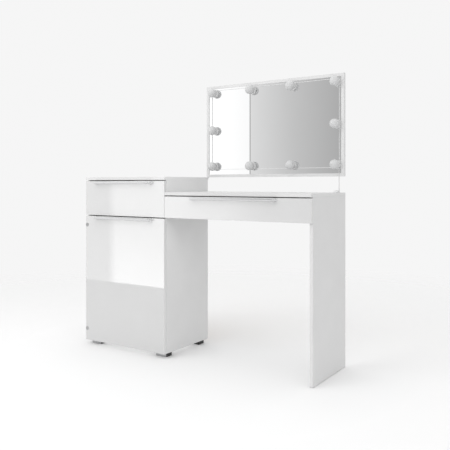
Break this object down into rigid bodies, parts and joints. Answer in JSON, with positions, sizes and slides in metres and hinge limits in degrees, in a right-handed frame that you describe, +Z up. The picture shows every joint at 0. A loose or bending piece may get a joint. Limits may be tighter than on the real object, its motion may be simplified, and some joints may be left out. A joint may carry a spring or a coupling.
{
  "type": "vanity table with mirror",
  "caption": "Vanity table: a storage cabinet with a drawer and a hinged door, a slim desk with a drawer on a panel leg, and a framed mirror edged with round lamps above the desk.",
  "frame": {"origin": "on the floor, under the middle of the whole table's bounding box", "axes": "+X to the right as seen from the front, +Y to the back, +Z up"},
  "size_m": [1.2704, 0.386, 1.314],
  "materials": {
    "gloss_lacquer": "white high-gloss lacquered fibreboard",
    "melamine": "white melamine-faced chipboard, edge-banded",
    "hardboard": "white-faced thin fibreboard",
    "frame_white": "white satin lacquered moulding",
    "aluminium": "satin anodised",
    "steel": "zinc-plated",
    "hinge_grey": "satin nickel",
    "bracket_white": "white powder-coated steel",
    "black_plastic": "black moulded plastic",
    "white_plastic": "white moulded plastic",
    "opal_plastic": "frosted opal diffuser, unlit",
    "led_board": "white solder-masked board",
    "cable_white": "white flexible sheath",
    "mirror": "silvered float glass"
  },
  "bodies": {
    "frame": {"cabinet_top": "melamine", "cabinet_side_left": "melamine", "cabinet_side_right": "melamine", "cabinet_bottom": "melamine", "cabinet_divider": "melamine", "cabinet_back": "hardboard", "cabinet_shelf": "melamine", "shelf_pins": "steel", "cabinet_feet": "black_plastic", "foot_strips": "steel", "cabinet_runner_rails": "steel", "hinge_frame_leaves": "hinge_grey", "hinge_pins_and_screws": "steel", "magnet_catch": "white_plastic", "desk_top": "melamine", "leg_panel": "melamine", "desk_bearer": "melamine", "desk_back_rail": "melamine", "leg_glides": "white_plastic", "desk_runner_rails": "steel", "joining_screws": "steel", "cam_fittings": "steel", "mirror_backboard": "hardboard", "mirror_glass": "mirror", "mirror_frame_top": "frame_white", "mirror_frame_bottom": "frame_white", "mirror_frame_left": "frame_white", "mirror_frame_right": "frame_white", "mirror_brackets": "bracket_white", "bracket_screws": "steel", "lamp_bases": "white_plastic", "lamp_led_boards": "led_board", "lamp_globes": "opal_plastic", "lamp_link_cable": "cable_white", "lamp_lead": "cable_white", "dimmer_housing": "white_plastic"},
    "door": {"door_panel": "gloss_lacquer", "door_handle": "aluminium", "door_handle_screws": "steel", "hinge_door_leaves": "hinge_grey", "hinge_caps": "hinge_grey", "catch_plate": "steel"},
    "cabinet_drawer": {"cabinet_drawer_front": "gloss_lacquer", "cabinet_drawer_side_left": "melamine", "cabinet_drawer_side_right": "melamine", "cabinet_drawer_back": "melamine", "cabinet_drawer_bottom": "hardboard", "cabinet_drawer_handle": "aluminium", "cabinet_drawer_handle_screws": "steel", "cabinet_drawer_slides": "steel"},
    "desk_drawer": {"desk_drawer_front": "gloss_lacquer", "desk_drawer_side_left": "melamine", "desk_drawer_side_right": "melamine", "desk_drawer_back": "melamine", "desk_drawer_bottom": "hardboard", "desk_drawer_handle": "aluminium", "desk_drawer_handle_screws": "steel", "desk_drawer_slides": "steel"},
    "cabinet_runner_middle": {"cabinet_runner_middles": "steel"},
    "desk_runner_middle": {"desk_runner_middles": "steel"}
  },
  "joints": [
    {"name": "door_hinge", "type": "hinge", "parent": "frame", "child": "door", "pos_m": [-0.63265, -0.1518, 0.34525], "axis": [0, 0, -1], "range_deg": [0, 105]},
    {"name": "cabinet_drawer_slide", "type": "slide", "parent": "frame", "child": "cabinet_drawer", "axis": [0, -1, 0], "range_m": [0, 0.25]},
    {"name": "desk_drawer_slide", "type": "slide", "parent": "frame", "child": "desk_drawer", "axis": [0, -1, 0], "range_m": [0, 0.25]},
    {"name": "cabinet_runner_slide", "type": "slide", "parent": "frame", "child": "cabinet_runner_middle", "axis": [0, -1, 0], "range_m": [0, 0.125]},
    {"name": "desk_runner_slide", "type": "slide", "parent": "frame", "child": "desk_runner_middle", "axis": [0, -1, 0], "range_m": [0, 0.125]}
  ],
  "couplings": [
    {"joint": "cabinet_runner_slide", "follows": "cabinet_drawer_slide", "ratio": 0.5},
    {"joint": "desk_runner_slide", "follows": "desk_drawer_slide", "ratio": 0.5}
  ]
}
